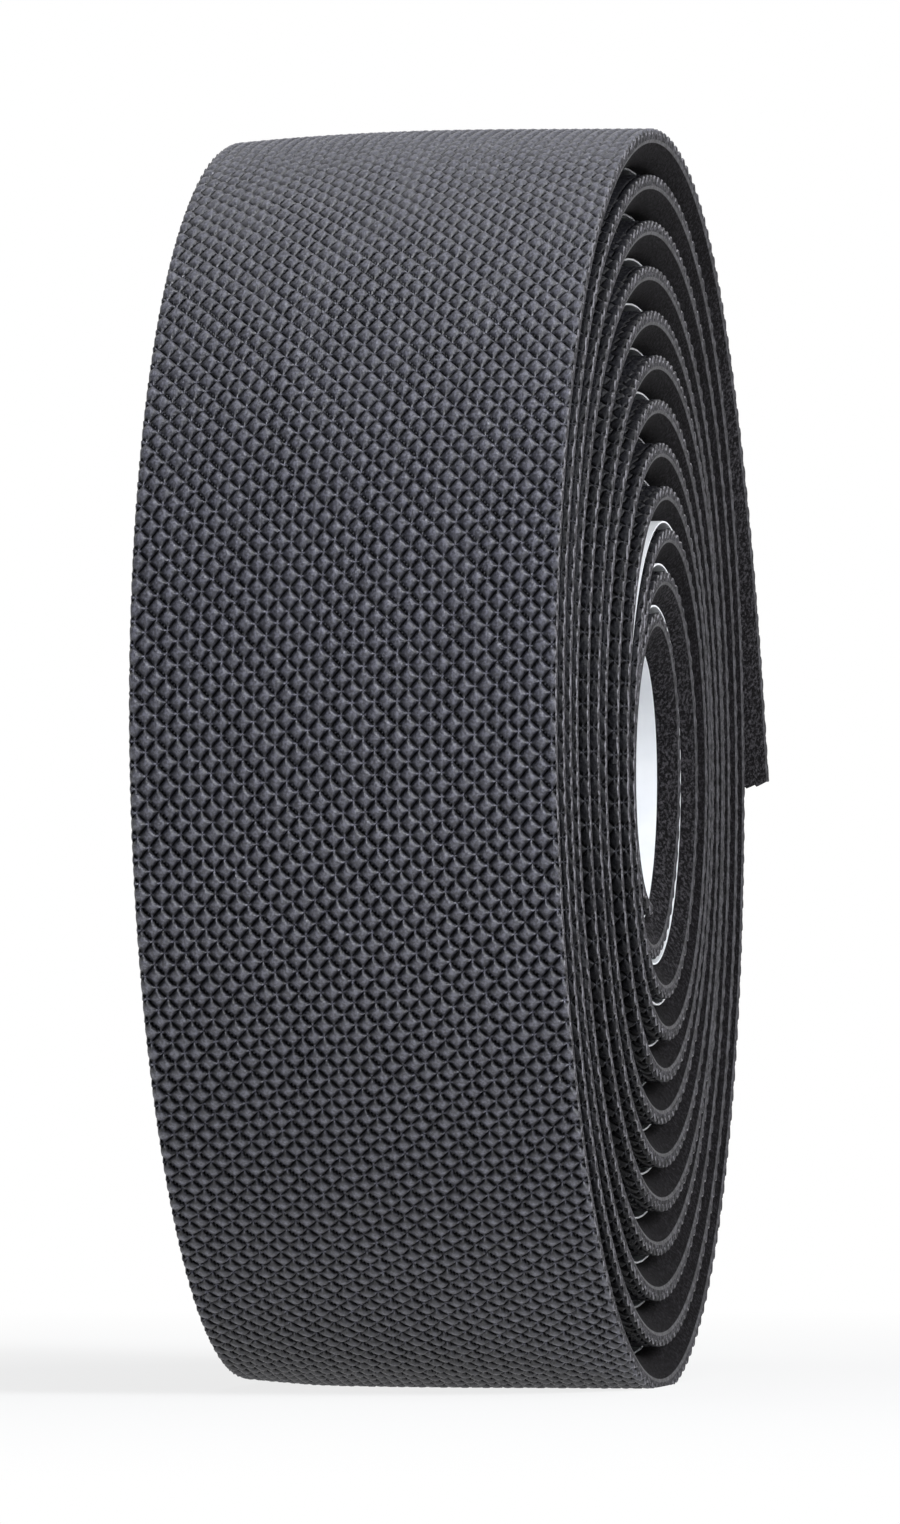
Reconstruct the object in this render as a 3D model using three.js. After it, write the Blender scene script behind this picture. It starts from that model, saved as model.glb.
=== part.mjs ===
// A roll of padded handlebar tape that stands on its rim.
// One long foam strip, embossed with diamonds on its outer face and bevelled along both edges of
// its inner face, is wound up with its release paper on the inside. The outer end springs free.
// Millimetres. +X runs along the axis of the roll, +Y to the rear, +Z up.

import * as THREE from "three";

// The strip
const STRIP_WIDTH = 30;
const STRIP_THICKNESS = 2.6;
const EDGE_THICKNESS = 0.9;
const BEVEL_WIDTH = 1.5;

// The release paper
const PAPER_THICKNESS = 0.12;
const BARE_TAIL_LENGTH = 55;

// The wind, with turns counted from the outer end inwards
const EYE_RADIUS = 7.5;
const TURNS = 11.72;
const CORE_SLACK = 0.14;
const RIM_SLACK = 0.6;
const TAIL_ANGLE = -1.4;

// What is out of true in a hand-wound roll
const OVAL_RATIO = 0.0124;
const OVAL_ANGLE = 46;
const RIM_LOBE_RATIO = 0.0163;
const LOBE_ANGLE = 41;
const CORE_SAG = 0.87;
const LEAN = 0.66;
const FAR_EDGE_DROP = 0.9;
const FAR_DROP_WIDTH = 9;

// A band of inner turns that stands proud of the near end, most of all at the front
const PROUD_HEIGHT = 1;
const PROUD_FRONT_EXTRA = 0.15;
const PROUD_TURN = 8.7;
const PROUD_SPREAD = 2.3;

// The outer end of the strip
const SPRING_HEIGHT = 6.5;
const SPRING_ARC = 43;
const TAIL_SHIFT = 0.35;
const TAIL_SHIFT_ARC = 180;
const CUT_ANGLE = 13;
const CUT_FADE_ARC = 54;

// The small flat that the soft rim makes where it stands
const FLAT_DEPTH = 0.5;

// The embossed diamonds, drawn on the outer turn
const DIAMOND_WIDTH = 3.75;
const DIAMOND_LENGTH = 4.05;
const GROOVE_DEPTH = 0.25;

// How finely the wind is divided
const STEPS_PER_TURN = 28;
const OUTER_TURN_SPLIT = 2;
const LOWEST_POINT_SAMPLES = 720;

// Colours and finishes
const TAPE_COLOUR = 0x3b3c43;
const TAPE_ROUGHNESS = 0.8;
const PAPER_COLOUR = 0xf1f4f6;
const PAPER_ROUGHNESS = 0.55;

const FULL_CIRCLE = 360;
const radians = THREE.MathUtils.degToRad;

const halfWidth = STRIP_WIDTH / 2;
const halfFlat = halfWidth - BEVEL_WIDTH;
const bendLine = FAR_DROP_WIDTH - halfWidth;
const layer = STRIP_THICKNESS + PAPER_THICKNESS;
const rimPitch = layer + RIM_SLACK;
const corePitch = layer + CORE_SLACK;
const rimRadius = EYE_RADIUS + layer + (TURNS * (rimPitch + corePitch)) / 2;
const cutLag = (STRIP_WIDTH * Math.tan(radians(CUT_ANGLE))) / (2 * Math.PI * rimRadius);

// How much of a fade is left at a distance along the wind, from 1 at the outer end to 0
function fade(turn, arc) {
  return THREE.MathUtils.clamp(1 - (turn * FULL_CIRCLE) / arc, 0, 1);
}

// Radius of the outer face. The pitch falls evenly from the rim to the core.
function windRadius(turn) {
  const wound = rimPitch * turn - ((rimPitch - corePitch) * turn * turn) / (2 * TURNS);
  return rimRadius - wound + SPRING_HEIGHT * fade(turn, SPRING_ARC) ** 2;
}

// A point of the outer face seen along the axis, as a vector of (y, z). The roll is a little
// oval, and three shallow lobes of its rim die out towards the core.
function windPoint(turn) {
  const angle = radians(TAIL_ANGLE + FULL_CIRCLE * turn);
  const depthShare = turn / TURNS;
  const oval = OVAL_RATIO * Math.cos(2 * (angle - radians(OVAL_ANGLE)));
  const lobes = RIM_LOBE_RATIO * (1 - depthShare) * Math.cos(3 * (angle - radians(LOBE_ANGLE)));
  const radius = windRadius(turn) * (1 + oval + lobes);
  const y = radius * Math.cos(angle);
  const z = radius * Math.sin(angle) - CORE_SAG * depthShare;
  return new THREE.Vector2(y, z);
}

// The direction from the outer face to the inner one, square to the wind
function inward(turn) {
  const nudge = 1e-4;
  const along = windPoint(turn + nudge).sub(windPoint(turn - nudge)).normalize();
  return new THREE.Vector2(-along.y, along.x);
}

// How far the strip is shifted along the axis at a point of the wind
function axialShift(turn, z) {
  const angle = radians(TAIL_ANGLE + FULL_CIRCLE * turn);
  const band = Math.exp(-(((turn - PROUD_TURN) / PROUD_SPREAD) ** 2));
  const proud = band * (PROUD_HEIGHT - PROUD_FRONT_EXTRA * Math.cos(angle));
  return proud + TAIL_SHIFT * fade(turn, TAIL_SHIFT_ARC) - (LEAN * z) / rimRadius;
}

// Height of the surface that the roll stands on
function floorHeight() {
  const samples = Array.from({ length: LOWEST_POINT_SAMPLES }, (_, i) => i / LOWEST_POINT_SAMPLES);
  return Math.min(...samples.map((turn) => windPoint(turn).y)) + FLAT_DEPTH;
}
const floor = floorHeight();

// A point of the strip: a turn, a place across it and a depth below its outer face.
// The outer end is cut askew, so points near it lag behind towards the far edge.
function stripPoint(turn, across, depth) {
  const lag = cutLag * (0.5 - across / STRIP_WIDTH) * fade(turn, CUT_FADE_ARC);
  const at = turn - lag;
  const point = windPoint(at).addScaledVector(inward(at), depth);
  const x = across + axialShift(at, point.y);
  return new THREE.Vector3(x, point.x, Math.max(point.y, floor));
}

// The strip bends down towards the core from a line across it to its far edge
function edgeDrop(across) {
  return FAR_EDGE_DROP * THREE.MathUtils.clamp((bendLine - across) / FAR_DROP_WIDTH, 0, 1);
}

// A list of places across the strip, each with its depth where the strip is unbent, as a profile
function bent(places) {
  return places.map(([across, depth]) => [across, edgeDrop(across) + depth]);
}

// Grooves lie between the diamonds and die out where the rim is pressed flat
function grooveDepth(turn, column, row) {
  const clearance = windPoint(turn).y - floor;
  const pressed = THREE.MathUtils.clamp(clearance / GROOVE_DEPTH, 0, 1);
  return (column + row) % 2 === 0 ? 0 : GROOVE_DEPTH * pressed;
}

// A growing list of vertices and triangles
class Skin {
  constructor() {
    this.positions = [];
    this.triangles = [];
  }

  // One row of vertices, each with its number and a key that orders it along the row
  row(specs) {
    return specs.map(({ turn, across, depth, key }) => {
      const p = stripPoint(turn, across, depth);
      this.positions.push(p.x, p.y, p.z);
      return { number: this.positions.length / 3 - 1, key, turn };
    });
  }

  // A band of triangles between two rows, which need not have as many vertices. Where both rows
  // have a vertex at the same key, the first row is the one that goes on, or the second if late.
  stitch(a, b, { keyOf = (v) => v.key, late = false } = {}) {
    let i = 0;
    let j = 0;
    while (i < a.length - 1 || j < b.length - 1) {
      const nextA = i < a.length - 1 ? keyOf(a[i + 1]) : Infinity;
      const nextB = j < b.length - 1 ? keyOf(b[j + 1]) : Infinity;
      if (nextA < nextB || (nextA === nextB && !late)) {
        this.triangles.push(a[i].number, b[j].number, a[i + 1].number);
        i += 1;
      } else {
        this.triangles.push(a[i].number, b[j].number, b[j + 1].number);
        j += 1;
      }
    }
  }

  // A band of diamonds: each cell is split along its groove
  grooved(a, b, rowNumber) {
    for (let i = 0; i < a.length - 1; i += 1) {
      const [p, q, r, s] = [a[i], a[i + 1], b[i + 1], b[i]].map((v) => v.number);
      if ((i + rowNumber) % 2 === 0) {
        this.triangles.push(p, s, q, q, s, r);
      } else {
        this.triangles.push(p, r, q, p, s, r);
      }
    }
  }

  geometry() {
    const made = new THREE.BufferGeometry();
    made.setAttribute("position", new THREE.Float32BufferAttribute(this.positions, 3));
    made.setIndex(this.triangles);
    made.computeVertexNormals();
    return made;
  }
}

// Places along the wind for the inner face and the paper, finer on the outer turn
function windSteps() {
  const count = Math.ceil(TURNS * STEPS_PER_TURN);
  const coarse = Array.from({ length: count + 1 }, (_, i) => (i * TURNS) / count);
  const half = TURNS / count / OUTER_TURN_SPLIT;
  return coarse.flatMap((turn) => (turn < 1 ? [turn, turn + half] : [turn]));
}
const steps = windSteps();

// Rows of the embossed outer face, one for every half diamond of the outer turn
function embossedRows(skin) {
  const columns = 2 * Math.round(STRIP_WIDTH / DIAMOND_WIDTH);
  const rows = 2 * Math.round((2 * Math.PI * rimRadius) / DIAMOND_LENGTH);
  return Array.from({ length: rows + 1 }, (_, row) => {
    const turn = row / rows;
    return skin.row(
      Array.from({ length: columns + 1 }, (_, column) => {
        const across = -halfWidth + (column * STRIP_WIDTH) / columns;
        const depth = edgeDrop(across) + grooveDepth(turn, column, row);
        return { turn, across, depth, key: across };
      }),
    );
  });
}

// Rows of a face that is the same all along: each place across has its depth
function plainRows(skin, turns, profile) {
  return turns.map((turn) =>
    skin.row(profile.map(([across, depth]) => ({ turn, across, depth, key: across }))),
  );
}

// Closes a long skin whose outer and inner faces are lists of rows
function closeEdgesAndEnds(skin, outer, inner) {
  const byTurn = { keyOf: (v) => v.turn };
  const first = (rows) => rows.map((row) => row[0]);
  const last = (rows) => rows.map((row) => row[row.length - 1]);
  skin.stitch(first(outer), first(inner), byTurn);
  skin.stitch(last(inner), last(outer), byTurn);
  skin.stitch(inner[0], outer[0]);
  skin.stitch(outer[outer.length - 1], inner[inner.length - 1]);
}

function tapeGeometry() {
  const skin = new Skin();
  const embossed = embossedRows(skin);
  const outerProfile = bent([
    [-halfWidth, 0],
    [bendLine, 0],
    [halfWidth, 0],
  ]);
  const covered = plainRows(skin, steps.filter((turn) => turn > 1), outerProfile);
  const outer = [...embossed, ...covered];
  for (let row = 0; row < outer.length - 1; row += 1) {
    if (row < embossed.length - 1) {
      skin.grooved(outer[row], outer[row + 1], row);
    } else {
      skin.stitch(outer[row], outer[row + 1]);
    }
  }
  const innerProfile = bent([
    [-halfWidth, EDGE_THICKNESS],
    [-halfFlat, STRIP_THICKNESS],
    [bendLine, STRIP_THICKNESS],
    [halfFlat, STRIP_THICKNESS],
    [halfWidth, EDGE_THICKNESS],
  ]);
  const inner = plainRows(skin, steps, innerProfile);
  for (let row = 0; row < inner.length - 1; row += 1) {
    skin.stitch(inner[row + 1], inner[row]);
  }
  closeEdgesAndEnds(skin, outer, inner);
  return skin.geometry();
}

// The paper covers the flat of the inner face, and its faces are split as that face is, so that
// the two lie against each other
function paperGeometry() {
  const skin = new Skin();
  const start = BARE_TAIL_LENGTH / (2 * Math.PI * rimRadius);
  const turns = steps.filter((turn) => turn >= start);
  const edge = halfFlat;
  const face = (depth) =>
    bent([
      [-edge, depth],
      [bendLine, depth],
      [edge, depth],
    ]);
  const outer = plainRows(skin, turns, face(STRIP_THICKNESS));
  const inner = plainRows(skin, turns, face(layer));
  for (let row = 0; row < turns.length - 1; row += 1) {
    skin.stitch(outer[row], outer[row + 1], { late: true });
    skin.stitch(inner[row + 1], inner[row]);
  }
  closeEdgesAndEnds(skin, outer, inner);
  return skin.geometry();
}

function makeTape() {
  const material = new THREE.MeshStandardMaterial({
    color: TAPE_COLOUR,
    roughness: TAPE_ROUGHNESS,
    metalness: 0,
  });
  const mesh = new THREE.Mesh(tapeGeometry(), material);
  mesh.name = "tape";
  return mesh;
}

function makePaper() {
  const material = new THREE.MeshStandardMaterial({
    color: PAPER_COLOUR,
    roughness: PAPER_ROUGHNESS,
    metalness: 0,
  });
  const mesh = new THREE.Mesh(paperGeometry(), material);
  mesh.name = "backing_paper";
  return mesh;
}

// The wind, moved so that the origin is the middle of the bottom of the roll
const wind = new THREE.Group();
wind.add(makeTape(), makePaper());
const box = new THREE.Box3().setFromObject(wind, true);
const middle = box.getCenter(new THREE.Vector3());
wind.position.set(-middle.x, -middle.y, -box.min.z);

const roll = new THREE.Group();
roll.name = "handlebar_tape_roll";
roll.add(wind);

export default roll;
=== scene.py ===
# %% [markdown]
# # A roll of handlebar tape
# One long strip of padded tape, wound about twelve turns on itself with its white release paper
# and stood on its rim. The strip has an embossed skin outside, a cut edge on each side, and soft
# foam inside that thins towards both edges. The CAD model has the same spiral with few points.
# Here it is followed again with far more, so that each diamond of the skin is there at its real
# size. Then come the paper, the floor and the lamps.

# %% Start from the CAD model
import math

import bpy
import numpy as np
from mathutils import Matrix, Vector


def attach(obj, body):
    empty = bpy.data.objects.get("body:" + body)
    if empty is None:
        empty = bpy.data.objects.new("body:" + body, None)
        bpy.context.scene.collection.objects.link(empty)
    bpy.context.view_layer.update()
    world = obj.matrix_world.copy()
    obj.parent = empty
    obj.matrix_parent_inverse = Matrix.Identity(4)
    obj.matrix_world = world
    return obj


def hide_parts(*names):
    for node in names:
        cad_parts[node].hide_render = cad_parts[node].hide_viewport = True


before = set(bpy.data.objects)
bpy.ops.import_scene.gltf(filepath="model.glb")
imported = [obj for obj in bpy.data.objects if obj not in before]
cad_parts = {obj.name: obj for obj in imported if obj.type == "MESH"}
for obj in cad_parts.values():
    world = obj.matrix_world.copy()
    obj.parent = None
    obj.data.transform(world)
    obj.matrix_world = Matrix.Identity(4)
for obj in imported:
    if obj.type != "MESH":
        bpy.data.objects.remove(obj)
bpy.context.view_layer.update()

MM = 0.001

# %% [markdown]
# ## The wind
# A roll is a spiral. On the real one it is not a tidy spiral: the outer turns are slacker than the
# inner ones, the loose end has sprung away at the rear, and the whole roll has sagged a little out
# of round. It could be wound by a simulation, but a radius written as a function of the turn keeps
# each of these as one plain number. A turn is counted from the loose end inwards.

# %% The strip and its wind in numbers, in mm
STRIP_WIDTH = 30.0
HALF = STRIP_WIDTH / 2
STRIP_THICKNESS = 2.6
EDGE_THICKNESS = 0.9
BEVEL_WIDTH = 1.6
PAPER_THICKNESS = 0.12
EYE_RADIUS = 7.5
TURNS = 11.72
CORE_SLACK, RIM_SLACK = 0.14, 0.6
TAIL_ANGLE = math.radians(-1.4)
OVAL_RATIO, OVAL_ANGLE = 0.0124, math.radians(46)
LOBE_RATIO, LOBE_ANGLE = 0.0163, math.radians(41)
CORE_SAG = 0.87
SPRING_HEIGHT, SPRING_ARC = 6.5, 43.0
FLAT_DEPTH = 0.5

LAYER = STRIP_THICKNESS + PAPER_THICKNESS
RIM_PITCH, CORE_PITCH = LAYER + RIM_SLACK, LAYER + CORE_SLACK
RIM_RADIUS = EYE_RADIUS + LAYER + TURNS * (RIM_PITCH + CORE_PITCH) / 2
print(f"pitch {RIM_PITCH:.2f} mm at the rim, {CORE_PITCH:.2f} mm at the core")

# %% The spiral as a function of the turn


def fade(turn, arc):
    """One at the loose end, falling in a straight line to nothing at `arc` degrees."""
    return np.clip(1 - turn * 360 / arc, 0, 1)


def wind_point(turn):
    """The skin's place in the end view: a radius that loses one pitch a turn, times a two-lobed and
    a three-lobed wave of the angle, with the core sunk a little. Gives (y, z) with y to the rear."""
    angle = TAIL_ANGLE + math.tau * turn
    share = turn / TURNS
    radius = RIM_RADIUS - RIM_PITCH * turn + (RIM_PITCH - CORE_PITCH) * turn**2 / (2 * TURNS)
    radius = radius + SPRING_HEIGHT * fade(turn, SPRING_ARC) ** 2
    oval = OVAL_RATIO * np.cos(2 * (angle - OVAL_ANGLE))
    lobes = LOBE_RATIO * (1 - share) * np.cos(3 * (angle - LOBE_ANGLE))
    radius = radius * (1 + oval + lobes)
    return np.stack([radius * np.cos(angle), radius * np.sin(angle) - CORE_SAG * share], -1)


def wind_inward(turn, step=1e-4):
    """Unit normal of the spiral towards its middle: the direction of travel turned a quarter left."""
    along = wind_point(turn + step) - wind_point(turn - step)
    along /= np.linalg.norm(along, axis=-1, keepdims=True)
    return np.stack([-along[..., 1], along[..., 0]], -1)


# %% Length along the strip
# The spiral has no plain formula for its length, so a table of short straight steps stands for one.
TABLE_POINTS = 60001
PAST_ENDS = 0.05

fine_turns = np.linspace(-PAST_ENDS, TURNS + PAST_ENDS, TABLE_POINTS)
fine_steps = np.linalg.norm(np.diff(wind_point(fine_turns), axis=0), axis=1)
fine_lengths = np.concatenate([[0.0], np.cumsum(fine_steps)])
fine_lengths -= np.interp(0.0, fine_turns, fine_lengths)


def length_at(turn):
    """Length of strip between the loose end and a turn, in mm."""
    return np.interp(turn, fine_turns, fine_lengths)


def turn_at(length):
    """The turn that lies a length of strip in from the loose end."""
    return np.interp(length, fine_lengths, fine_turns)


print(f"strip length {length_at(TURNS):.0f} mm, rim radius {RIM_RADIUS:.2f} mm")

# %% [markdown]
# ## How the turns lie beside each other
# Looked at from the front, the turns of the end face are not flush. The whole roll leans a little,
# the inner turns have been pushed out by about a millimetre, and the last few go back in. A short
# list of heights, smoothed along the strip, gives this better than one formula. The far edge of
# the strip is bent down, and the loose end is cut a little askew.

# %% Sideways place in numbers, in mm, with how far each turn of a list stands proud
LEAN = 0.66
TAIL_SHIFT, TAIL_SHIFT_ARC = 0.35, 180.0
CUT_ANGLE, CUT_FADE_ARC = math.radians(13), 54.0
CUT_LAG = STRIP_WIDTH * math.tan(CUT_ANGLE) / (math.tau * RIM_RADIUS)
FAR_EDGE_DROP = 0.9
FAR_DROP_START, FAR_DROP_POWER = 5.0, 2.2
PROUD_LIST = [
    (0.0, 0.0), (1.0, 0.0), (2.0, 0.0), (3.0, -0.1), (3.5, -0.15), (4.5, 0.1), (5.0, 0.55),
    (5.5, 0.4), (5.75, 0.28), (6.0, 0.65), (6.25, 0.3), (6.5, 0.6), (6.75, 0.0), (7.0, 0.85),
    (7.25, 0.4), (7.5, 1.1), (7.75, 0.3), (8.0, 1.0), (8.25, 0.85), (8.5, 1.2), (8.75, 0.7),
    (9.0, 1.05), (9.25, 1.15), (9.5, 1.15), (9.75, 0.5), (10.0, 0.8), (10.25, 0.85),
    (10.5, 0.6), (10.75, -0.4), (11.0, -0.15), (11.25, 0.45), (11.5, 0.1), (11.72, -0.1),
]
PROUD_REACH = 0.16
PROUD_TABLE_POINTS, PROUD_PAST_ENDS = 4001, 0.1

# %% Sideways place as functions


def smooth_list(points, turn, reach):
    """A smooth curve past listed (turn, value) points: each value counts by a bell of the distance
    to it along the strip, and the sum is divided by the sum of the bells."""
    at = np.array([p[0] for p in points])
    value = np.array([p[1] for p in points])
    span = np.maximum(reach, np.gradient(at))
    bell = np.exp(-(((np.asarray(turn)[..., None] - at) / span) ** 2))
    return (bell * value).sum(-1) / bell.sum(-1)


proud_turns = np.linspace(-PROUD_PAST_ENDS, TURNS + PROUD_PAST_ENDS, PROUD_TABLE_POINTS)
proud_values = smooth_list(PROUD_LIST, proud_turns, PROUD_REACH)


def sideways(turn, height):
    """How far the strip is moved along the axis: how proud its turn stands, plus the loose end's
    shift, less a lean in proportion to the height above the wind's middle."""
    proud = np.interp(turn, proud_turns, proud_values)
    return proud + TAIL_SHIFT * fade(turn, TAIL_SHIFT_ARC) - LEAN * height / RIM_RADIUS


def far_drop(across):
    """How far the strip is bent inwards towards its far edge: a smooth power of the distance."""
    share = np.clip((FAR_DROP_START - across) / (FAR_DROP_START + HALF), 0, 1)
    return FAR_EDGE_DROP * share**FAR_DROP_POWER


print(f"inner turns stand proud by up to {proud_values.max():.2f} mm")

# %% [markdown]
# ## From the strip to the model
# Any point of the strip is told by three numbers: how far along, how far across and how deep. One
# function turns them into a place, and the foam, the skin and the paper all go through it, so
# they can't come apart. The lowest part is pressed flat where the roll stands on the table.

# %% A point of the strip, and the middle of the wind in the model
OUTER_TURN_POINTS = 2001
OUTLINE_ROWS, OUTLINE_COLUMNS = 8001, 7

lowest = wind_point(np.linspace(0, 1, OUTER_TURN_POINTS))[:, 1].min()


def on_wind(turn, across, depth):
    """A point of the strip: along it by turns, across it in mm, and down from its skin in mm.
    turn is a column, across a row and depth either, so whole sheets of points come out at once.
    Gives the places, and the turn of each after the lag of the slanted cut."""
    lag = CUT_LAG * (0.5 - across / STRIP_WIDTH) * fade(turn, CUT_FADE_ARC)
    at = turn - lag
    point = wind_point(at) + wind_inward(at) * (depth + far_drop(across))[..., None]
    y, z = point[..., 0], point[..., 1]
    x = across + sideways(at, z)
    z = np.maximum(z, lowest + FLAT_DEPTH)
    return np.stack([x, y, z], -1), at


outline, _ = on_wind(
    np.linspace(0, TURNS, OUTLINE_ROWS)[:, None],
    np.linspace(-HALF, HALF, OUTLINE_COLUMNS)[None, :],
    np.zeros((1, OUTLINE_COLUMNS)),
)
low, high = outline.reshape(-1, 3).min(0), outline.reshape(-1, 3).max(0)
WIND_MIDDLE = np.array([-(low[0] + high[0]) / 2, -(low[1] + high[1]) / 2, -low[2]])
print("wind middle in the model, mm:", WIND_MIDDLE.round(3), "size:", (high - low).round(2))

# %% [markdown]
# ## The camera
# The roll is seen from the front with its near end just turned into view. The direction and
# distance came out of a least squares fit of the same spiral to points of the picture.

# %% Camera
VIEW_AZIMUTH = math.radians(9.293)
VIEW_DISTANCE = 1500.0
PIXELS_PER_MM = 14.1209
IMAGE_HEIGHT = 1524
AIM_LEFT, AIM_UP = 14.581, 0.116
SENSOR_HEIGHT = 24.0
CLIP_NEAR, CLIP_FAR = 0.05, 20.0

forward = np.array([-math.sin(VIEW_AZIMUTH), math.cos(VIEW_AZIMUTH), 0.0])
rightward = np.array([math.cos(VIEW_AZIMUTH), math.sin(VIEW_AZIMUTH), 0.0])
aim = WIND_MIDDLE + np.array([HALF, 0.0, 0.0]) - AIM_LEFT * rightward
aim = aim + np.array([0.0, 0.0, AIM_UP])

camera_data = bpy.data.cameras.new("camera")
camera_data.sensor_fit = "VERTICAL"
camera_data.sensor_height = SENSOR_HEIGHT
camera_data.lens = SENSOR_HEIGHT * VIEW_DISTANCE * PIXELS_PER_MM / IMAGE_HEIGHT
camera_data.clip_start, camera_data.clip_end = CLIP_NEAR, CLIP_FAR
camera = bpy.data.objects.new("camera", camera_data)
camera.location = Vector((aim - VIEW_DISTANCE * forward) * MM)
camera.rotation_euler = (math.pi / 2, 0.0, VIEW_AZIMUTH)
bpy.context.scene.collection.objects.link(camera)
bpy.context.scene.camera = camera
print(f"lens {camera_data.lens:.1f} mm")

# %% [markdown]
# ## A closed skin from rows of points
# Every piece here is a strip: the same ring of points round its section, repeated along it. Rows
# of points and a ring order give all the faces at once. The two ends are closed with one face each.
# The mesh also carries a map named strip, which says how far across and along each point lies.

# %% From rows of points to a mesh object
SHARP_ANGLE = math.radians(55)
END_FINISH = 1  # the ends take the second of a piece's finishes


def strip_mesh(name, points, ring_uv, ring_finish, finishes):
    """A closed strip from points[row, ring place, xyz] in mm. Faces join each row to the next and
    run round the ring, and one face closes each end. ring_finish gives each face's finish."""
    rows, ring = points.shape[:2]
    here = np.arange(rows - 1)[:, None] * ring + np.arange(ring)[None, :]
    beside = np.arange(rows - 1)[:, None] * ring + (np.arange(ring) + 1)[None, :] % ring
    quads = np.stack([here, here + ring, beside + ring, beside], -1).reshape(-1, 4)
    start = list(range(ring))
    end = list(range((rows - 1) * ring, rows * ring))[::-1]
    mesh = bpy.data.meshes.new(name)
    mesh.from_pydata((points.reshape(-1, 3) * MM).tolist(), [], quads.tolist() + [start, end])
    corners = np.empty(len(mesh.loops), np.int32)
    mesh.loops.foreach_get("vertex_index", corners)
    layer = mesh.uv_layers.new(name="strip")
    layer.data.foreach_set("uv", ring_uv.reshape(-1, 2)[corners].astype(np.float32).ravel())
    for finish in finishes:
        mesh.materials.append(finish)
    finish_of = np.concatenate([np.tile(ring_finish, rows - 1), [END_FINISH, END_FINISH]])
    mesh.polygons.foreach_set("material_index", finish_of.astype(np.int32))
    mesh.polygons.foreach_set("use_smooth", np.ones(len(mesh.polygons), bool))
    mesh.set_sharp_from_angle(angle=SHARP_ANGLE)
    mesh.validate()
    piece = bpy.data.objects.new(name, mesh)
    bpy.context.scene.collection.objects.link(piece)
    print(f"{name}: {rows} rows, {2 * len(quads) + 2 * (ring - 2)} triangles")
    return piece


# %% [markdown]
# ## Finishes: helpers
# Each finish is a small graph of nodes. One function adds a node with its settings and links, so
# that a finish reads as a list of steps. Colours are written as they look on screen.

# %% Colour and node helpers


def linear(hex_colour):
    """A colour written as on screen, turned into linear light: each channel c becomes
    ((c + 0.055) / 1.055) ** 2.4, or c / 12.92 where it is very dark."""
    channels = [int(hex_colour[i : i + 2], 16) / 255 for i in (1, 3, 5)]
    return [c / 12.92 if c <= 0.04045 else ((c + 0.055) / 1.055) ** 2.4 for c in channels] + [1.0]


def fill(node, inputs):
    """Gives a node its inputs, by name or in order: a link for another node's output, a colour for
    a hex string, and a plain value for anything else."""
    pairs = inputs.items() if isinstance(inputs, dict) else enumerate(inputs)
    for key, value in pairs:
        if isinstance(value, bpy.types.NodeSocket):
            node.id_data.links.new(value, node.inputs[key])
        else:
            node.inputs[key].default_value = linear(value) if isinstance(value, str) else value


def add(tree, kind, inputs=(), out=0, **settings):
    """Adds a node with its settings and inputs. Gives one of its outputs, or with out=None the
    node itself."""
    node = tree.nodes.new("ShaderNode" + kind)
    for key, value in settings.items():
        setattr(node, key, value)
    fill(node, inputs)
    return node if out is None else node.outputs[out]


def new_finish(name):
    """A new material: itself, its node tree, its shader, and the place on the object, which is
    what every noise follows."""
    finish = bpy.data.materials.new(name)
    finish.use_nodes = True
    tree = finish.node_tree
    return finish, tree, tree.nodes["Principled BSDF"], add(tree, "TexCoord", out="Object")


def noise_of(place, size, detail=2.0, roughness=0.5):
    """Inputs of a Noise Texture whose blotches are about `size` mm wide: its scale is one over
    that size in metres."""
    return {"Vector": place, "Scale": 1 / (size * MM), "Detail": detail, "Roughness": roughness}


# A Mix node for colours takes its share at input 0 and the colours at 6 and 7, and gives output 2.
COLOURS = {"out": 2, "data_type": "RGBA"}

# %% [markdown]
# ## The embossed skin
# The outside is a thin skin of black polyurethane, pressed between heated rollers into rows of
# small diamonds with narrow grooves between them. The diamonds are in the mesh, so that they show
# at the outline too, and the finish adds what is finer. Each groove has a dull floor, darkened with
# painted shade, each crown has a paler painted highlight, and the corners of the diamonds have a
# painted highlight tick. A picture could carry all this, but the strip's own map counts the
# diamonds, so the nodes can work out the same shape as the mesh, in step with it. The skin wound
# in under the outer turn is a darker and duller copy with painted shade.

# %% The diamond's shape in nodes
DIAMOND_WIDTH = 1.542
DIAMOND_LENGTH = 1.70
STAR_POWER = 0.8
STAR_REACH = 0.57


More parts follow.
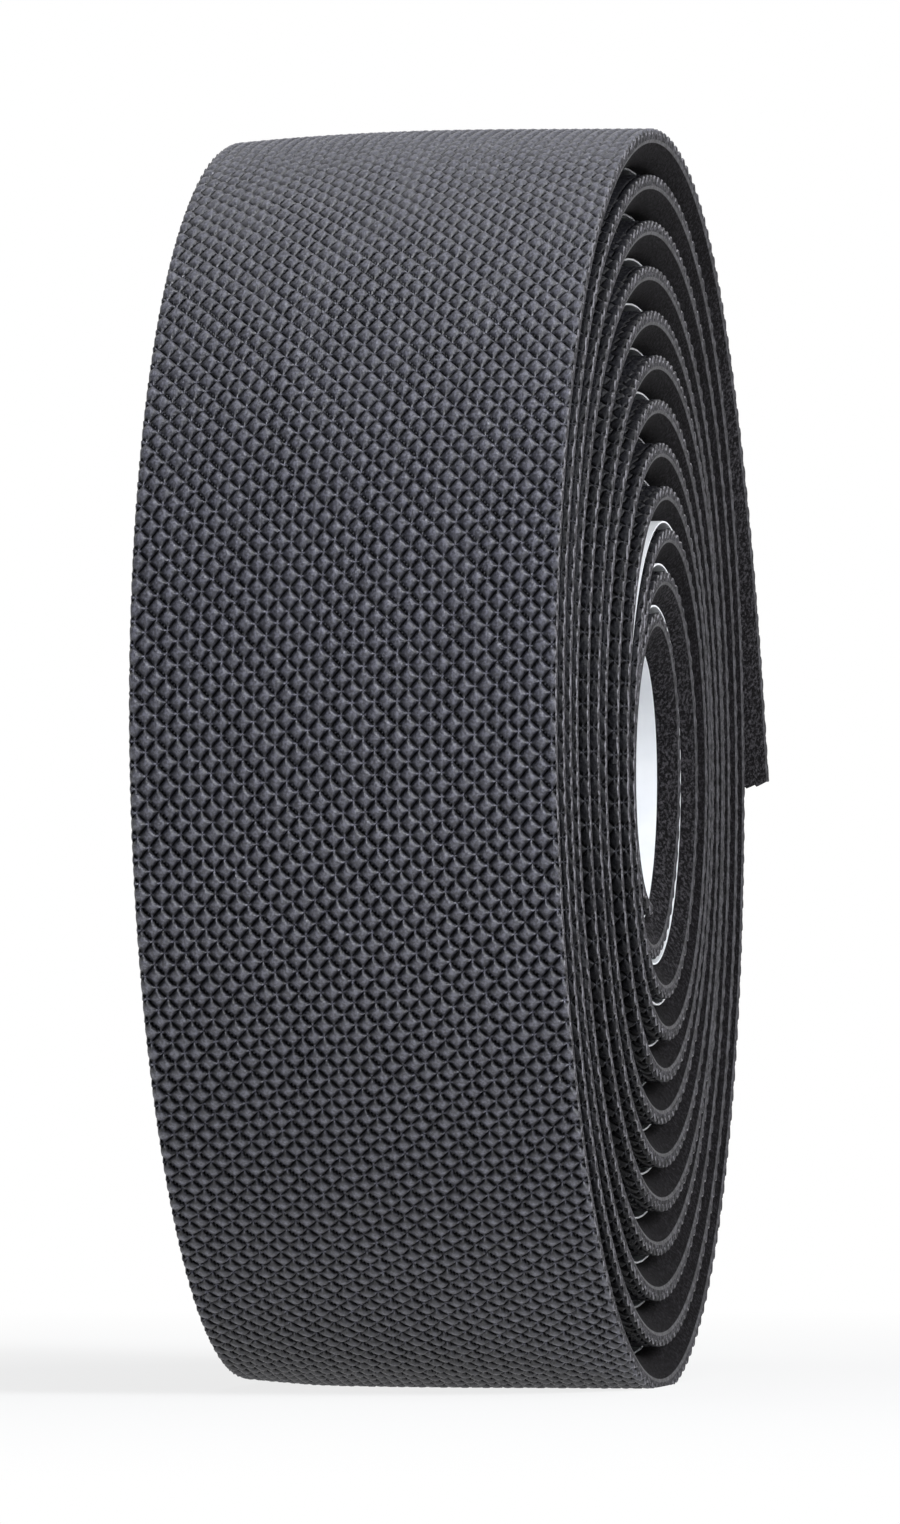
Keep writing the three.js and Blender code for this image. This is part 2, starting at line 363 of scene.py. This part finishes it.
def diamond_height_nodes(tree):
    """The two falls of a diamond from its middle, and how near a corner is. u and v are counted in
    diamonds from the nearest middle, without their signs. The dome is 4 (u^2 + v^2), and the rim
    is (u^p + v^p)^(1/p) / D. Both are the same sums as in diamond_height() below. The third value
    is |u - v|: a half at the four corners, and nothing in the middle of the sides."""
    counted = add(tree, "SeparateXYZ", [add(tree, "UVMap", uv_map="strip")], out=None)

    def to_nearest(value):
        """Distance to the nearest whole number."""
        nearest = add(tree, "Math", [value], operation="ROUND")
        past = add(tree, "Math", [value, nearest], operation="SUBTRACT")
        return add(tree, "Math", [past], operation="ABSOLUTE")

    u, v = to_nearest(counted.outputs[0]), to_nearest(counted.outputs[1])
    both = add(tree, "Math", [u, v], operation="ADD")
    next_one = add(tree, "Math", [both, 0.5], operation="GREATER_THAN")

    def folded(value):
        """A half less the value where the next diamond is nearer, and else the value."""
        turned = add(tree, "Math", [value, -2.0, 0.5], operation="MULTIPLY_ADD")
        return add(tree, "Math", [next_one, turned, value], operation="MULTIPLY_ADD")

    def sum_of_powers(power):
        """u to a power, plus v to the same power."""
        parts = [add(tree, "Math", [value, power], operation="POWER") for value in (u, v)]
        return add(tree, "Math", parts, operation="ADD")

    u, v = folded(u), folded(v)
    dome = add(tree, "Math", [sum_of_powers(2.0), 4.0], operation="MULTIPLY")
    distance = add(tree, "Math", [sum_of_powers(STAR_POWER), 1 / STAR_POWER], operation="POWER")
    rim = add(tree, "Math", [distance, STAR_REACH], operation="DIVIDE")
    difference = add(tree, "Math", [u, v], operation="SUBTRACT")
    return dome, rim, add(tree, "Math", [difference], operation="ABSOLUTE")


# %% Finish of the skin
RIM_POWER, RIM_BUMP = 6.0, 0.2
# The pit colour is painted shade in the grooves; their dullness and lower shine are the skin's own.
PIT_RANGE, PIT_SHADE = (0.84, 1.0), "#060607"
PIT_DULLNESS, PIT_SHINE = 0.4, 0.1
CROWN_RANGE = (0.02, 0.34)
CORNER_RANGE = (0.33, 0.45)
GRAIN_SIZE, GRAIN_BUMP = 0.28, 0.12
GRAIN_RANGE, TICK_GRAIN_RANGE = (0.38, 0.62), (0.35, 0.6)
BLOTCH_SIZE, BLOTCH_SHARE, BLOTCH_TONE = 5.0, 0.25, "#282831"
FLECK_SIZE, FLECK_RANGE, LEAST_FLECK = 0.22, (0.42, 0.6), 0.25
BLOTCH_RANGE, SHEEN_RANGE = (0.35, 0.65), (0.3, 0.7)
DULL_ROUGHNESS, BRIGHT_ROUGHNESS = 0.44, 0.32
SKIN_IOR = 1.5


def skin_finish(name, dark, light, crown_highlight_colour, tick_highlight_colour, shine):
    """Polyurethane skin, embossed with a hot roller, which gives the eye a satin shine on the
    crowns and none in the pits. Two tones of grain are mixed with wide blotches, then a painted
    highlight on the crowns, painted highlight ticks at the corners and painted shade in the pits go
    over them. The bump is the grain less a steep power of the rim. The real grain is finer, and is
    drawn coarse enough to show."""
    finish, tree, shader, place = new_finish(name)
    dome, rim, corner = diamond_height_nodes(tree)
    pit = add(tree, "MapRange", [rim, *PIT_RANGE])
    crown = add(tree, "MapRange", [dome, *CROWN_RANGE, 1.0, 0.0])
    grain = add(tree, "TexNoise", noise_of(place, GRAIN_SIZE, 4.0, 0.7))
    tone = add(tree, "MapRange", [grain, *GRAIN_RANGE])
    tone = add(tree, "Mix", {0: tone, 6: dark, 7: light}, **COLOURS)
    blotch = add(tree, "TexNoise", noise_of(place, BLOTCH_SIZE))
    blotch = add(tree, "MapRange", [blotch, *BLOTCH_RANGE, 0.0, BLOTCH_SHARE])
    tone = add(tree, "Mix", {0: blotch, 6: tone, 7: BLOTCH_TONE}, **COLOURS)
    flecks = add(tree, "TexNoise", noise_of(place, FLECK_SIZE, 2.0, 0.6))
    flecks = add(tree, "MapRange", [flecks, *FLECK_RANGE, LEAST_FLECK, 1.0])
    # Painted highlight: the crowns are painted paler, broken up by the flecks.
    crown_highlight = add(tree, "Math", [crown, flecks], operation="MULTIPLY")
    tone = add(tree, "Mix", {0: crown_highlight, 6: tone, 7: crown_highlight_colour}, **COLOURS)
    # Painted highlight: a pale tick at each corner of a diamond.
    at_corner = add(tree, "MapRange", [corner, *CORNER_RANGE])
    broken = add(tree, "MapRange", [grain, *TICK_GRAIN_RANGE])
    tick = add(tree, "Math", [at_corner, broken], operation="MULTIPLY")
    tone = add(tree, "Mix", {0: tick, 6: tone, 7: tick_highlight_colour}, **COLOURS)
    # Painted shade: the pits are darkened in colour.
    tone = add(tree, "Mix", {0: pit, 6: tone, 7: PIT_SHADE}, **COLOURS)
    rough = add(tree, "MapRange", [grain, *SHEEN_RANGE, DULL_ROUGHNESS, BRIGHT_ROUGHNESS])
    rough = add(tree, "Math", [pit, PIT_DULLNESS, rough], operation="MULTIPLY_ADD")
    gloss = add(tree, "MapRange", [pit, 0.0, 1.0, shine, PIT_SHINE])
    steep = add(tree, "Math", [rim, RIM_POWER], operation="POWER")
    fall = add(tree, "Math", [steep, -RIM_BUMP], operation="MULTIPLY")
    relief = add(tree, "Math", [grain, GRAIN_BUMP, fall], operation="MULTIPLY_ADD")
    bump = add(tree, "Bump", {"Height": relief, "Strength": 1.0, "Distance": MM})
    fill(shader, {"Base Color": tone, "Roughness": rough, "Specular IOR Level": gloss})
    fill(shader, {"IOR": SKIN_IOR, "Normal": bump})
    return finish


SHINE, SHADED_SHINE = 1.0, 0.22
# The crown and tick colours given here are painted highlights on the skin.
skin = skin_finish(
    "embossed_polyurethane_skin", "#08080a", "#2d2d3a", "#72727f", "#9292a0", SHINE
)
# A darker, duller copy of the skin for the wound-in turns: painted shade.
shaded_skin = skin_finish(
    "painted_shade_polyurethane_skin", "#040405", "#141417", "#26262a", "#5a5a60", SHADED_SHINE
)
print("skins:", skin.name, shaded_skin.name)

# %% [markdown]
# ## The cut edge and the foam
# Below the skin is black closed-cell foam. Where the strip is slit the cells are open and show as
# grey speckle. At the outer corner the cut skin is a thin brighter line, a painted highlight of the
# corner catching the light, and the blade pinches the foam at the inner one. The inner face is
# skived and brushed, so it is soft, fuzzy and nearly black. Where the turns cover it, it is darker
# still with painted shade; at the loose end and round the eye it keeps a plain, greyer tone. Four
# small finishes say this more plainly than one with masks.

# %% Finishes of the cut edge
CELL_SIZE, CELL_RANGE = 0.3, (0.46, 0.62)
WEAR_SIZE, WEAR_RANGE, WEAR_SHARE = 1.2, (0.35, 0.7), 0.3
LINE_WEAR_SIZE = 0.5
LIP_RANGE, SKIN_CORNER_RANGE = (0.4, 0.65), (0.42, 0.62)


def cut_edge_finish():
    """Closed-cell EVA foam, slit with a blade, which opens its cells: to the eye a dull grey
    speckle, coarser than the real cells so that it shows, with wider patches of wear over it."""
    finish, tree, shader, place = new_finish("slit_foam_edge")
    cells = add(tree, "TexNoise", noise_of(place, CELL_SIZE, 3.0, 0.75))
    wear = add(tree, "TexNoise", noise_of(place, WEAR_SIZE))
    tone = add(tree, "MapRange", [cells, *CELL_RANGE])
    tone = add(tree, "Mix", {0: tone, 6: "#080708", 7: "#67656a"}, **COLOURS)
    worn = add(tree, "MapRange", [wear, *WEAR_RANGE, 0.0, WEAR_SHARE])
    tone = add(tree, "Mix", {0: worn, 6: tone, 7: "#222226"}, **COLOURS)
    bump = add(tree, "Bump", {"Height": cells, "Strength": 0.8, "Distance": 0.1 * MM})
    fill(shader, {"Base Color": tone, "Normal": bump})
    fill(shader, {"Roughness": 0.85, "Specular IOR Level": 0.2})
    return finish


def lip_finish():
    """EVA foam, pinched thin by the blade at the inner corner, so that its cells are closed: to
    the eye a smoother line than the edge beside it, paler in places."""
    finish, tree, shader, place = new_finish("pinched_foam_lip")
    wear = add(tree, "TexNoise", noise_of(place, LINE_WEAR_SIZE, 2.0, 0.6))
    tone = add(tree, "MapRange", [wear, *LIP_RANGE])
    tone = add(tree, "Mix", {0: tone, 6: "#18171a", 7: "#4c4b4f"}, **COLOURS)
    bump = add(tree, "Bump", {"Height": wear, "Strength": 0.5, "Distance": 0.05 * MM})
    fill(shader, {"Base Color": tone, "Normal": bump})
    fill(shader, {"Roughness": 0.6, "Specular IOR Level": 0.3})
    return finish


def corner_finish():
    """Polyurethane skin, cut through by the blade: to the eye a thin broken pale line along the
    outer corner, a painted highlight of the corner catching the light, with a soft shine."""
    finish, tree, shader, place = new_finish("slit_skin_corner")
    wear = add(tree, "TexNoise", noise_of(place, LINE_WEAR_SIZE, 2.0, 0.6))
    tone = add(tree, "MapRange", [wear, *SKIN_CORNER_RANGE])
    # Painted highlight: the corner line is painted paler than the skin.
    tone = add(tree, "Mix", {0: tone, 6: "#252427", 7: "#7c7a80"}, **COLOURS)
    fill(shader, {"Base Color": tone, "Roughness": 0.5})
    return finish


cut_edge = cut_edge_finish()
lip = lip_finish()
skin_corner = corner_finish()
print("edge finishes:", cut_edge.name, lip.name, skin_corner.name)

# %% Finish of the foam
UNSHADED_TAIL, TAIL_FADE = 28.0, 1.6
UNSHADED_CORE_TURN, CORE_FADE = 9.5, 1.03
FUZZ_SIZE, FUZZ_RANGE = 0.26, (0.46, 0.7)


def foam_finish():
    """EVA foam, skived and brushed, whose nap scatters the light: to the eye nearly black and
    quite matt, with a faint fuzz. It keeps a plain tone up to UNSHADED_TAIL mm from the loose end
    and past UNSHADED_CORE_TURN, and between them, where the turns cover it, it takes a darker tone
    of painted shade. Each changes to the painted shade, or back, over a stretch that ends at
    TAIL_FADE or CORE_FADE times its length."""
    finish, tree, shader, place = new_finish("brushed_black_foam")
    fuzz = add(tree, "TexNoise", noise_of(place, FUZZ_SIZE, 3.0, 0.75))
    nap = add(tree, "MapRange", [fuzz, *FUZZ_RANGE])
    plain_foam_tone = add(tree, "Mix", {0: nap, 6: "#0e0d0e", 7: "#4a484b"}, **COLOURS)
    painted_shade_foam_tone = add(tree, "Mix", {0: nap, 6: "#0a090a", 7: "#2f2d30"}, **COLOURS)
    along = add(tree, "SeparateXYZ", [add(tree, "UVMap", uv_map="strip")], out=1)
    start = UNSHADED_TAIL / DIAMOND_LENGTH
    end = length_at(UNSHADED_CORE_TURN) / DIAMOND_LENGTH
    past_tail = add(tree, "MapRange", [along, start, TAIL_FADE * start])
    before_core = add(tree, "MapRange", [along, end, CORE_FADE * end, 1.0, 0.0])
    wound_in = add(tree, "Math", [past_tail, before_core], operation="MULTIPLY")
    # Painted shade: the foam is darker where the turns cover it.
    tone = add(tree, "Mix", {0: wound_in, 6: plain_foam_tone, 7: painted_shade_foam_tone}, **COLOURS)
    bump = add(tree, "Bump", {"Height": fuzz, "Strength": 0.9, "Distance": 0.12 * MM})
    fill(shader, {"Base Color": tone, "Normal": bump})
    fill(shader, {"Roughness": 0.95, "Specular IOR Level": 0.08})
    return finish


foam = foam_finish()
print("foam finish:", foam.name)

# %% [markdown]
# ## The tape
# The section of the strip is a ring of points: across the skin, down the near cut edge, back
# across the inner face, and up the far edge. The points on the skin carry the diamonds. Each is a
# dome whose sides sink faster than its corners, and it leans a little to one side, as the roller
# drags it. A displacement of a plain strip would need as many points and give less hold on their
# places. The outer turn carries the diamonds over its whole width, in three pieces so that none
# gets too heavy, and the hidden turns carry them only near their edges.

# %% Diamonds
RELIEF = 0.55
FAN, FAN_START, FAN_LENGTH = 0.0009, 84.0, 140.0
WANDER = 0.025
DOME, STAR_FALL = 0.5, 5
LEAN_OF_DIAMOND, LEANING_PEAK = 0.9, 1.13


def pattern_place(across, length):
    """Where a point of the strip lies in the pattern, counted in diamonds across and along. The
    rows fan out over the outer turn, by FAN for each mm of strip, and everything wanders a little:
    two slow sine waves of the place move each way by WANDER of a diamond."""
    fanned = length + FAN * np.clip(length - FAN_START, 0, FAN_LENGTH) * across
    u, v = across / DIAMOND_WIDTH, fanned / DIAMOND_LENGTH
    wave_u = np.sin(u / 1.7 + v / 3.1) + np.sin(v / 1.9 - u / 4.1)
    wave_v = np.sin(u / 2.3 - v / 2.9) + np.sin(v / 4.3 + u / 1.3)
    return u + WANDER * wave_u, v + WANDER * wave_v


def diamond_height(across, length):
    """Height of the skin, 1 on a crown and 0 in the pits. u and v are counted in diamonds from the
    nearest middle. The fall from the middle is DOME 4 (u^2 + v^2) + (1 - DOME) (d / D)^5, where d
    is (|u|^p + |v|^p)^(1/p). With p under one d has star-shaped level lines, so low ridges run out
    to the four corners and the sides sink between them. The roller drags each diamond askew, so
    one minus the fall is multiplied by 1 + LEAN_OF_DIAMOND (u - v), over the peak that gives."""
    u, v = pattern_place(across, length)
    u, v = u - np.round(u), v - np.round(v)
    next_one = np.abs(u) + np.abs(v) > 0.5
    u = np.where(next_one, u - 0.5 * np.sign(u), u)
    v = np.where(next_one, v - 0.5 * np.sign(v), v)
    star = (np.abs(u) ** STAR_POWER + np.abs(v) ** STAR_POWER) ** (1 / STAR_POWER)
    fall = DOME * 4 * (u**2 + v**2) + (1 - DOME) * (star / STAR_REACH) ** STAR_FALL
    return np.clip((1 - fall) * (1 + LEAN_OF_DIAMOND * (u - v)) / LEANING_PEAK, 0, 1)


# %% Section of the strip
CORNER_WIDTH, CORNER_DEPTH = 0.08, 0.1
CUT_FLAT = 2.0
BEVEL_POWER = 1.5
INNER_FLAT = HALF - BEVEL_WIDTH
RIM_THICKNESS, CORE_THICKNESS = 2.75, 2.42
CORNER_CLEARANCE = 0.3
PLAIN_PLACES = 6
INNER_MIDDLE = 4.5
INNER_SHARES = np.array([0.05, 0.22, 0.42, 0.62, 0.82, 1.0])
INNER_COLUMNS = np.concatenate([
    HALF - BEVEL_WIDTH * INNER_SHARES,
    [INNER_MIDDLE, -INNER_MIDDLE],
    BEVEL_WIDTH * INNER_SHARES[::-1] - HALF,
])


def thickness(turn):
    """Foam thickness: a straight line from the rim's to the core's, where the tighter winding
    squeezes it a little."""
    return RIM_THICKNESS + (CORE_THICKNESS - RIM_THICKNESS) * turn / TURNS


def inner_depth(turn, across):
    """Thickness of the strip: full in the middle, and thinning along a curve to both edges."""
    share = np.clip((np.abs(across) - INNER_FLAT) / BEVEL_WIDTH, 0, 1)
    return thickness(turn) - (thickness(turn) - EDGE_THICKNESS) * share**BEVEL_POWER


def skin_columns(samples, near_diamonds=None, far_diamonds=None):
    """Places across the skin from the far edge to the near one, `samples` to a diamond. With a
    number of diamonds for each edge, the middle gets only a few places. A place closer to a corner
    than CORNER_CLEARANCE of a step is left out."""
    step = DIAMOND_WIDTH / samples
    inside = HALF - CORNER_WIDTH
    all_places = np.arange(math.ceil(-inside / step), math.floor(inside / step) + 1) * step
    if near_diamonds is not None:
        near = all_places[all_places > HALF - near_diamonds * DIAMOND_WIDTH]
        far = all_places[all_places < -HALF + far_diamonds * DIAMOND_WIDTH]
        plain = np.linspace(far[-1], near[0], PLAIN_PLACES)[1:-1]
        all_places = np.concatenate([far, plain, near])
    places = all_places[np.abs(all_places) < inside - CORNER_CLEARANCE * step]
    return np.concatenate([[-inside], places, [inside]])


# %% One stretch of the tape
# The places in a piece's list of finishes.
FACE, EDGE, INNER, LIP, OUTER_CORNER = range(5)


def tape_piece(name, first_turn, last_turn, row_step, columns, face):
    """One stretch of the tape, from a turn to another, with rows a fixed length of strip apart.
    The skin's depth is RELIEF times one minus the diamond's height, and it grows from nothing over
    the first CUT_FLAT mm, where the knife has pressed it flat."""
    first, last = length_at(first_turn), length_at(last_turn)
    stations = np.arange(math.floor(first / row_step) + 1, math.ceil(last / row_step)) * row_step
    stations = np.concatenate([[first], stations, [last]])
    turn = turn_at(stations)[:, None]
    outer = columns[None, :]
    lag = CUT_LAG * (0.5 - outer / STRIP_WIDTH) * fade(turn, CUT_FADE_ARC)
    pressed = np.clip(length_at(turn) / CUT_FLAT, 0, 1)
    depth = RELIEF * pressed * (1 - diamond_height(outer, length_at(turn - lag)))
    near_top, far_top = depth[:, -1:], depth[:, :1]
    edge_foot = np.ones_like(near_top) * (EDGE_THICKNESS - CORNER_DEPTH)
    near_edge = np.concatenate([near_top + CORNER_DEPTH, edge_foot], 1)
    far_edge = np.concatenate([edge_foot, far_top + CORNER_DEPTH], 1)
    inner = inner_depth(turn, INNER_COLUMNS[None, :])
    across = np.concatenate([columns, [HALF, HALF], INNER_COLUMNS, [-HALF, -HALF]])[None, :]
    depth = np.concatenate([depth, near_edge, inner, far_edge], 1)
    points, at = on_wind(turn, across, depth)
    uv = np.stack(pattern_place(np.broadcast_to(across, at.shape), length_at(at)), -1)
    skin_faces = [FACE] * (len(columns) - 1)
    inner_faces = [INNER] * (len(INNER_COLUMNS) - 1)
    near_faces, far_faces = [OUTER_CORNER, EDGE, LIP], [LIP, EDGE, OUTER_CORNER]
    finish = np.array(skin_faces + near_faces + inner_faces + far_faces)
    finishes = [face, cut_edge, foam, lip, skin_corner]
    return strip_mesh(name, points + WIND_MIDDLE, uv, finish, finishes)


# %% Wind the tape
FINE_SAMPLES = 8
EDGE_SAMPLES = 4
NEAR_DIAMONDS, FAR_DIAMONDS = 2.2, 1.2
OUTER_STARTS = [0.0, 0.36, 0.71, 1.06]
CORE_START = 4.4

full = skin_columns(FINE_SAMPLES)
edges_only = skin_columns(EDGE_SAMPLES, NEAR_DIAMONDS, FAR_DIAMONDS)
fine_step, edge_step = DIAMOND_LENGTH / FINE_SAMPLES, DIAMOND_LENGTH / EDGE_SAMPLES
tape_pieces = [
    tape_piece(f"tape_outer_turn_{i + 1}", start, end, fine_step, full, skin)
    for i, (start, end) in enumerate(zip(OUTER_STARTS, OUTER_STARTS[1:]))
]
hidden_stretches = [
    ("tape_middle_turns", OUTER_STARTS[-1], CORE_START),
    ("tape_core_turns", CORE_START, TURNS),
]
tape_pieces += [
    tape_piece(name, start, end, edge_step, edges_only, shaded_skin)
    for name, start, end in hidden_stretches
]

# %% [markdown]
# ## The release paper
# White silicone paper covers the adhesive side of the foam. It is a little narrower than the
# strip, and was laid on by hand, so the near margin beside it wanders by more than two
# millimetres. It could be a sheet with a thickness modifier, but swept along the same spiral as a
# thin closed strip it stays just inside the foam.

# %% Paper: its margins in mm by the turn, and its rows
BARE_TAIL_LENGTH = 55.0
FAR_MARGIN = 1.6
MARGIN_LIST = [
    (0.25, 2.4), (0.75, 2.2), (1.25, 2.3), (1.75, 2.2), (2.25, 1.4), (2.75, 1.75), (3.25, 1.55),
    (3.75, 1.6), (4.25, 1.7), (4.75, 1.6), (5.25, 1.6), (5.75, 1.5), (6.25, 2.1), (6.75, 1.8),
    (7.25, 1.8), (7.75, 1.1), (8.2, 0.3), (8.3, -0.1), (8.4, -0.1), (8.5, 0.5), (8.7, 0.9),
    (9.25, 0.85), (9.75, 0.9), (10.0, 1.0), (10.25, 0.8), (10.75, 1.0), (11.0, 1.46),
    (11.25, 1.6), (11.72, 1.7),
]
MARGIN_REACH = 0.13
PAPER_ROWS_PER_TURN = 90
PAPER_SHARES = np.array([0.0, 0.15, 0.35, 0.55, 0.7, 0.8, 0.9, 1.0])

# %% Paper
MOTTLE_SIZE, MOTTLE_RANGE = 3.0, (0.3, 0.7)
FIBRE_SIZE, FIBRE_RELIEF = 0.25, 0.02


def paper_finish():
    """Bleached paper, calendered and coated with silicone: to the eye white and smooth with a soft
    gloss, a faint mottle, and a hardly visible relief of fibres."""
    finish, tree, shader, place = new_finish("silicone_release_paper")
    mottle = add(tree, "TexNoise", noise_of(place, MOTTLE_SIZE, 3.0))
    tone = add(tree, "MapRange", [mottle, *MOTTLE_RANGE])
    tone = add(tree, "Mix", {0: tone, 6: "#eef0f3", 7: "#f8f9fa"}, **COLOURS)
    fibre = add(tree, "TexNoise", noise_of(place, FIBRE_SIZE))
    bump = add(tree, "Bump", {"Height": fibre, "Strength": 0.15, "Distance": FIBRE_RELIEF * MM})
    fill(shader, {"Base Color": tone, "Normal": bump, "Roughness": 0.38, "IOR": 1.45})
    return finish


def paper_piece(name, finish):
    """The paper as a thin closed strip: its places across run from the wandering near margin to
    the far one, once on the side against the foam and once on the side that shows."""
    first = turn_at(BARE_TAIL_LENGTH)
    turn = np.linspace(first, TURNS, int((TURNS - first) * PAPER_ROWS_PER_TURN))[:, None]
    near = HALF - smooth_list(MARGIN_LIST, turn[:, 0], MARGIN_REACH)[:, None]
    across = near + (-(HALF - FAR_MARGIN) - near) * PAPER_SHARES[None, :]
    base = np.broadcast_to(thickness(turn), across.shape)
    across = np.concatenate([across, across[:, ::-1]], 1)
    depth = np.concatenate([base, (base + PAPER_THICKNESS)[:, ::-1]], 1)
    points, at = on_wind(turn, across, depth)
    uv = np.stack([across, np.broadcast_to(length_at(at), at.shape)], -1)
    ring_finish = np.zeros(across.shape[1], int)
    return strip_mesh(name, points + WIND_MIDDLE, uv, ring_finish, [finish, finish])


paper = paper_piece("release_paper_liner", paper_finish())

# %% Each piece stands for its CAD solid
for piece in tape_pieces:
    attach(piece, "root")
    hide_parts("tape")
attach(paper, "root")
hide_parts("backing_paper")
print("pieces:", len(tape_pieces), "for the tape and 1 for the paper")

# %% [markdown]
# ## The floor
# A white table. More light would make it white, but would wash out the roll. So most of its
# brightness is a glow that only the camera sees, and that shiny and clear things show. The rest
# comes from the lamps, and keeps the roll's soft shadow.

# %% Floor, in metres
FLOOR_SIZE = 3.0
SHOWN_IN_GLOSS = (-0.1, -0.055)
GLOW_REACH, NEAR_GLOW = (0.05, 0.2), 0.8
WHITE = (1, 1, 1, 1)


def is_seen(tree, rearward, start, end):
    """One for camera rays and for what clear things show. Glossy things show it too, on the side
    behind the roll: the camera's side of the room stays dark, as a studio's is."""
    path = add(tree, "LightPath", out=None)
    behind = add(tree, "MapRange", [rearward, start, end])
    mirrored = add(tree, "Math", [path.outputs["Is Glossy Ray"], behind], operation="MULTIPLY")
    seen = add(tree, "Math", [path.outputs["Is Camera Ray"], mirrored], operation="MAXIMUM")
    clear = path.outputs["Is Transmission Ray"]
    return add(tree, "Math", [seen, clear], operation="MAXIMUM")


def floor_finish():
    """White laminate, pressed smooth, here quite matt: to the eye plain white with a soft shadow.
    Its glow grows from NEAR_GLOW beside the roll to one further out."""
    finish = bpy.data.materials.new("white_table")
    finish.use_nodes = True
    tree = finish.node_tree
    tree.nodes.clear()
    lit = add(tree, "BsdfDiffuse", {"Color": "#f0f0f0"})
    glow = add(tree, "Emission", {"Color": WHITE, "Strength": 1.0})
    place = add(tree, "TexCoord", out="Object")
    rearward = add(tree, "SeparateXYZ", [place], out=1)
    distance = add(tree, "VectorMath", [place], out="Value", operation="LENGTH")
    far = add(tree, "MapRange", [distance, *GLOW_REACH, NEAR_GLOW, 1.0])
    seen = is_seen(tree, rearward, *SHOWN_IN_GLOSS)
    share = add(tree, "Math", [seen, far], operation="MULTIPLY")
    surface = add(tree, "MixShader", [share, lit, glow])
    add(tree, "OutputMaterial", [surface], out=None)
    return finish


floor_half = FLOOR_SIZE / 2
floor_signs = [(-1, -1), (1, -1), (1, 1), (-1, 1)]
floor_mesh = bpy.data.meshes.new("table")
floor_mesh.from_pydata([(a * floor_half, b * floor_half, 0) for a, b in floor_signs], [], [(0, 1, 2, 3)])
floor_mesh.materials.append(floor_finish())
floor = bpy.data.objects.new("table", floor_mesh)
bpy.context.scene.collection.objects.link(floor)
print(f"floor: {FLOOR_SIZE} m square")

# %% [markdown]
# ## The room and the lamps
# The wall is white for the camera in the same way as the floor, and gives only a faint even light.
# Plain studio light is three square softboxes: a key from the right and above, which rakes across
# the diamonds and shows their relief, a wide one overhead, and a weak low one for the near end.

# %% World
AMBIENT, AMBIENT_TONE = 0.1, "#eef2ff"
WALL_IN_GLOSS = (-0.3, 0.5)


def white_room():
    """A world that lights the roll with AMBIENT and shows as plain white."""
    world = bpy.data.worlds.new("white_room")
    world.use_nodes = True
    tree = world.node_tree
    tree.nodes.clear()
    toward = add(tree, "SeparateXYZ", [add(tree, "TexCoord", out="Generated")], out=1)
    seen = is_seen(tree, toward, *WALL_IN_GLOSS)
    room = add(tree, "Background", {"Color": AMBIENT_TONE, "Strength": AMBIENT})
    wall = add(tree, "Background", {"Color": WHITE, "Strength": 1.0})
    surface = add(tree, "MixShader", [seen, room, wall])
    add(tree, "OutputWorld", [surface], out=None)
    return world


bpy.context.scene.world = white_room()
print("world:", bpy.context.scene.world.name)

# %% Lamps
LAMP_TARGET = Vector((0.0, 0.0, 0.045))
LAMP_DISTANCE = 0.9
COOL_WHITE = (0.95, 0.97, 1.0)


def softbox(name, azimuth, elevation, size, level):
    """A square lamp aimed at the roll. level is the share of plain daylight it adds on a face
    turned to it: a lamp of P watts at d metres gives P / (pi d^2), and plain light is pi."""
    data = bpy.data.lights.new(name, "AREA")
    data.shape = "SQUARE"
    data.size = size
    data.energy = level * math.pi**2 * LAMP_DISTANCE**2
    data.color = COOL_WHITE
    lamp = bpy.data.objects.new(name, data)
    a, e = math.radians(azimuth), math.radians(elevation)
    away = Vector((math.sin(a) * math.cos(e), -math.cos(a) * math.cos(e), math.sin(e)))
    lamp.location = LAMP_TARGET + away * LAMP_DISTANCE
    lamp.rotation_euler = away.to_track_quat("Z", "Y").to_euler()
    bpy.context.scene.collection.objects.link(lamp)
    print(f"{name}: {data.energy:.1f} W, {size} m square")


softbox("key_softbox", azimuth=54, elevation=36, size=0.3, level=1.0)
softbox("top_softbox", azimuth=10, elevation=70, size=0.6, level=0.26)
softbox("low_softbox", azimuth=52, elevation=6, size=0.2, level=0.12)

bpy.context.scene.view_settings.view_transform = "Standard"
